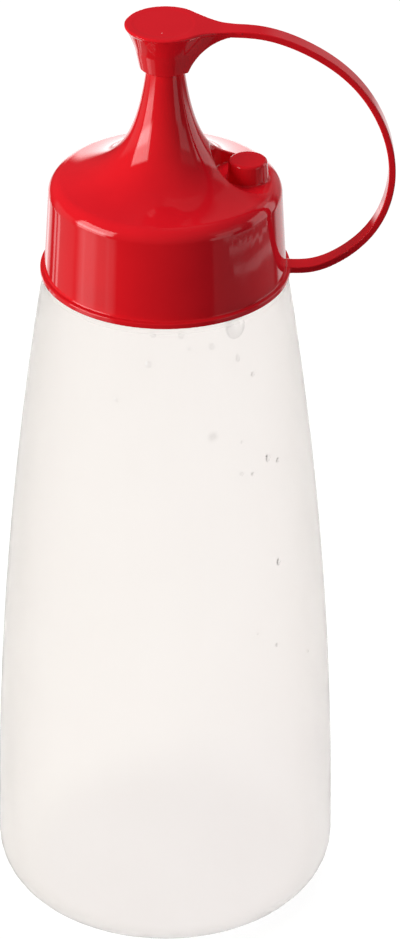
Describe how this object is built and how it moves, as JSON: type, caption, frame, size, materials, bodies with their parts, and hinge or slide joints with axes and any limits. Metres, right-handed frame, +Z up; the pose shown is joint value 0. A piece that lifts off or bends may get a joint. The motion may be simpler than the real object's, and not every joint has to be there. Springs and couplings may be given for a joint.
{
  "type": "squeeze bottle",
  "caption": "Squeeze bottle with a translucent blown body and a red screwed-on closure: skirt, trumpet nozzle, storage peg and a tip cap on a curved strap.",
  "frame": {"origin": "centre of the bottle's base, in the plane it stands on", "axes": "+Z up along the bottle and its nozzle, +X towards the strap and the storage peg, +Y away from the viewer"},
  "size_m": [0.0856, 0.075, 0.2101],
  "materials": {
    "milky_polyethylene": "satin",
    "red_polypropylene": "gloss"
  },
  "bodies": {
    "root": {"bottle": "milky_polyethylene", "closure": "red_polypropylene"}
  },
  "joints": []
}
